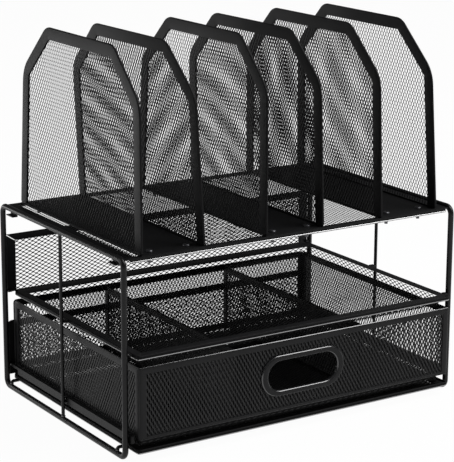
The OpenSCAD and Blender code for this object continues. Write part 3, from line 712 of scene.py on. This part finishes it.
def drawer_wall(name, corners, place, strips=SIDE_STRIPS, top_corners=(SHARP, SHARP), **mesh):
    """A wall of the drawer: expanded sheet in a folded strip. top_corners holds the radii of its two upper
    corners, and mesh says how its sheet is cut and pulled."""
    first = strips[0]
    frame_band = band(corners, (SHARP, SHARP, *top_corners), folded(first), place, steps=3,
                      side_scale=[s / first for s in strips])
    strip = piece(f"{name}_folded_strip", [frame_band], STRIP_COAT, "drawer", replaces=[f"{name}_frame"])
    sheet = sheet_panel(inset(corners, [s - TUCK for s in strips]), place, **mesh)
    expanded_mesh(f"{name}_expanded_mesh", sheet, "drawer", [f"{name}_mesh"])
    return strip


GRIP_Z = (SIDE_Z + SIDE_TOP) / 2
# The finger opening's ring: how far it lies to the right, its size, its width, its width at the round
# ends, how far it stands proud of the drawer's front, and the radius of its bent edges
GRIP_X, GRIP_W, GRIP_H, GRIP_RING, GRIP_END, GRIP_PROUD, GRIP_BEND = 0.9, 84.5, 36.0, 5.0, 7.0, 1.5, 1.5
# How far the mesh reaches in under the ring, on both sides together
GRIP_TUCK = 3


def stadium(w, h, steps=16):
    """A level slot outline with round ends, anticlockwise, in the middle of the drawer's front."""
    r, out = h / 2, []
    for side in (1, -1):
        for k in range(steps + 1):
            a = math.radians(-90 + 180 * k / steps) + (0 if side > 0 else math.pi)
            out.append([GRIP_X + side * (w / 2 - r) + r * math.cos(a), GRIP_Z + r * math.sin(a)])
    return np.array(out)


def grip_ring():
    """The pressed ring round the finger opening: a flat face with well rounded edges that stands proud of
    the drawer's front, and a short collar into the opening."""
    r = GRIP_BEND
    bend = [(1 - math.cos(a), 1 - math.sin(a)) for a in np.radians((0, 20, 40, 60, 78, 90))]
    outer = [(r * d, r * h - GRIP_PROUD) for d, h in bend]
    inner = [(GRIP_RING - r * d, r * h - GRIP_PROUD) for d, h in reversed(bend)]
    collar = [(GRIP_RING, 1.7), (GRIP_RING - 0.3, 2.0), (0.3, 2.0), (0.0, 1.7)]
    section = outer + inner + collar
    rings = []
    for d, h in section:
        ring = stadium(GRIP_W - 2 * d * GRIP_END / GRIP_RING, GRIP_H - 2 * d)
        rings.append(facing_front(TRAY_FRONT)(ring[:, 0], ring[:, 1], np.full(len(ring), h)))
    pts = np.array(rings)
    shape = (pts.reshape(-1, 3), grid_faces(len(section), pts.shape[1], True, True))
    ring = piece("drawer_grip_pressed_ring", [shape], STRIP_COAT, "drawer", replaces=["handle_ring"],
                 smooth=40)
    # The ring's bent edges, the faces that don't look to the front, get the edge coat: painted highlight
    # lines.
    paint_highlight_by_facing(ring, EDGE_HIGHLIGHT_COAT, lambda n: abs(n.y) < RING_FLAT)


# Width of the flat rim round the floor, and how far the floor's mesh lies below the walls' foot
FLOOR_RIM, FLOOR_SUNK = 9.0, 0.45


def drawer():
    """Front, rear, sides and partitions on a rimmed mesh floor, and the ring round the finger opening."""
    end = rectangle(-DRAWER_X, SIDE_Z, DRAWER_X, SIDE_TOP)
    grip = stadium(GRIP_W - GRIP_TUCK, GRIP_H - GRIP_TUCK, 8)
    front = drawer_wall("drawer_front", end, facing_front(TRAY_FRONT + STRIP_T / 2), FRONT_STRIPS,
                        hole=grip, twist=15, strand=0.98)
    # the top fold's upward faces get the edge coat: a painted highlight line along the top
    paint_highlight_by_facing(front, EDGE_HIGHLIGHT_COAT, lambda n: n.z > LEAN and abs(n.y) < STRIP_FLAT)
    drawer_wall("drawer_rear", end, facing_front(DRAWER_BACK - STRIP_T / 2), top_corners=(ROUND, ROUND))
    side_y = (TRAY_FRONT + STRIP_T, DRAWER_BACK - STRIP_T)
    for side, s in (("left", -1), ("right", 1)):
        drawer_wall(f"drawer_{side}", rectangle(side_y[0], SIDE_Z, side_y[1], SIDE_TOP),
                    facing_side(s * (DRAWER_X - STRIP_T / 2)), top_corners=(ROUND, SHARP), twist=8)
    for side, s in (("left", -1), ("right", 1)):
        drawer_wall(f"partition_{side}", rectangle(side_y[0], SIDE_Z, side_y[1], PARTITION_TOP),
                    facing_side(s * PARTITION_X))

    floor = rectangle(-DRAWER_X, TRAY_FRONT, DRAWER_X, DRAWER_BACK)
    rim = band(floor, (SHARP,) * 4, sheet_edge(FLOOR_RIM), lying(SIDE_Z - SHEET_T / 2), steps=2)
    piece("drawer_floor_flat_rim", [rim], STRIP_COAT, "drawer", replaces=["drawer_floor_rim"])
    sheet = sheet_panel(inset(floor, FLOOR_RIM - TUCK), lying(SIDE_Z - FLOOR_SUNK), upright=False, twist=-4,
                        strand=0.8)
    expanded_mesh("drawer_floor_expanded_mesh", sheet, "drawer", ["drawer_floor_mesh"])
    grip_ring()


drawer()


# ---------------------------------------------------------------- studio

# From here on, places and sizes are in metres.
# A painted shadow: inside these edges, under the bottom tray, the floor is painted dark. Each holds the
# axis, where the dark ends and where the white is full.
PAINTED_SHADOW_EDGES = (("X", -0.143, -0.147), ("X", 0.163, 0.168), ("Y", -0.090, -0.094), ("Y", 0.104, 0.110))
# Share of the floor's colour that is seen as plain white, or as black inside the painted shadow, the rest
# being lit paper with the shadow
FLOOR_WHITE = 0.97
FLOOR_SIZE, FLOOR_Z = 16, -0.0004


def studio_floor():
    """A plain white sheet. It is seen white, with a faint shadow of the object, and right under the bottom
    tray it is painted dark, a painted shadow that makes the trays look dark through their meshes."""
    m, t = new_material("white_studio_paper")
    paper = add_node(t, "ShaderNodeBsdfDiffuse", {"Color": linear("#f2f2f2")})
    place = add_node(t, "ShaderNodeTexCoord").outputs["Object"]
    where = add_node(t, "ShaderNodeSeparateXYZ", None, Vector=place)
    outside_painted_shadow = None
    for axis, dark, white in PAINTED_SHADOW_EDGES:
        edge = add_node(t, "ShaderNodeMapRange", {"From Min": dark, "From Max": white},
                        Value=where.outputs[axis]).outputs["Result"]
        outside_painted_shadow = edge if outside_painted_shadow is None else add_node(t, "ShaderNodeMath", {"operation": "MAXIMUM"},
                                                    i0=outside_painted_shadow, i1=edge).outputs[0]
    ray = add_node(t, "ShaderNodeLightPath")
    seen = ray.outputs["Is Camera Ray"]
    for kind in ("Is Glossy Ray", "Is Transmission Ray"):
        seen = add_node(t, "ShaderNodeMath", {"operation": "MAXIMUM"},
                        i0=seen, i1=ray.outputs[kind]).outputs[0]
    share = add_node(t, "ShaderNodeMath", {"operation": "MULTIPLY", 1: FLOOR_WHITE}, i0=seen)
    # The glow fades to black under the bottom tray: the painted shadow.
    glow = add_node(t, "ShaderNodeEmission", {"Color": (1, 1, 1, 1)}, Strength=outside_painted_shadow)
    mix = add_node(t, "ShaderNodeMixShader", None,
                   i0=share.outputs[0], i1=paper.outputs[0], i2=glow.outputs[0])
    add_node(t, "ShaderNodeOutputMaterial", None, Surface=mix.outputs[0])
    bpy.ops.mesh.primitive_plane_add(size=FLOOR_SIZE, location=(0, 0, FLOOR_Z))
    floor = bpy.context.object
    floor.name = "studio_floor"
    floor.data.materials.append(m)


# The dim room that the coats mirror, where the surroundings are seen white
ROOM_GLOW = 0.11
# Each lamp's name, place, aim, width and height, and watts
LAMPS = (("left_softbox", (-1.7, 0.5, 0.9), (0, 0, 0.15), (1.2, 1.2), 9.0),
         ("upper_right_softbox", (1.12, -0.78, 1.80), (0, 0, 0.12), (1.0, 1.6), 46.0),
         ("low_left_rear_card", (-0.42, 0.66, 0.13), (-0.147, 0.1, 0.25), (0.25, 0.2), 0.5))


def studio_light():
    """A dim room round the white floor, a soft light from the left, a long one from the upper right, and a
    small card low behind the left side."""
    world = bpy.data.worlds.new("white_studio")
    bpy.context.scene.world = world
    world.use_nodes = True
    t = world.node_tree
    t.nodes.clear()
    ray = add_node(t, "ShaderNodeLightPath")
    seen = add_node(t, "ShaderNodeMath", {"operation": "MAXIMUM"}, i0=ray.outputs["Is Camera Ray"],
                    i1=ray.outputs["Is Transmission Ray"])
    dim = add_node(t, "ShaderNodeBackground", {"Color": (1, 1, 1, 1), "Strength": ROOM_GLOW})
    white = add_node(t, "ShaderNodeBackground", {"Color": (1, 1, 1, 1), "Strength": 1.0})
    mix = add_node(t, "ShaderNodeMixShader", None,
                   i0=seen.outputs[0], i1=dim.outputs[0], i2=white.outputs[0])
    add_node(t, "ShaderNodeOutputWorld", None, Surface=mix.outputs[0])
    for name, place, aim, size, watts in LAMPS:
        lamp = bpy.data.lights.new(name, "AREA")
        lamp.shape, lamp.size, lamp.size_y, lamp.energy = "RECTANGLE", size[0], size[1], watts
        ob = bpy.data.objects.new(name, lamp)
        ob.visible_camera = False
        bpy.context.scene.collection.objects.link(ob)
        back = unit(np.array(place) - np.array(aim))
        right = unit(np.cross([0, 0, 1.0], back))
        up = np.cross(back, right)
        ob.matrix_world = Matrix([[right[i], up[i], back[i], place[i]] for i in range(3)] + [[0, 0, 0, 1]])


# Where the camera stands and how it is turned: to the left, upwards and rolled, in degrees
CAMERA_PLACE, CAMERA_TURN = (-0.86435, -1.33866, 0.56364), (-32.76, 14.67, 0.25)
# The photograph's height and the focal length, in its pixels, and the sensor in millimetres
IMAGE_H, FOCAL_PX, SENSOR = 462, 1876.71, 36


def camera():
    """Stands where the photograph was taken: 33 degrees to the left of the front and 15 degrees up."""
    az, el, roll = (math.radians(a) for a in CAMERA_TURN)
    back = np.array([math.sin(az) * math.cos(el), -math.cos(az) * math.cos(el), math.sin(el)])
    right = np.array([math.cos(az), math.sin(az), 0.0])
    up = np.cross(right, -back)
    r = right * math.cos(roll) + up * math.sin(roll)
    u = -right * math.sin(roll) + up * math.cos(roll)
    cam = bpy.data.cameras.new("camera")
    cam.sensor_width, cam.lens, cam.clip_start, cam.clip_end = SENSOR, FOCAL_PX * SENSOR / IMAGE_H, 0.05, 50
    ob = bpy.data.objects.new("camera", cam)
    bpy.context.scene.collection.objects.link(ob)
    ob.matrix_world = Matrix([[r[i], u[i], back[i], CAMERA_PLACE[i]] for i in range(3)] + [[0, 0, 0, 1]])
    bpy.context.scene.camera = ob


studio_floor()
studio_light()
camera()
bpy.context.scene.view_settings.view_transform = "Standard"
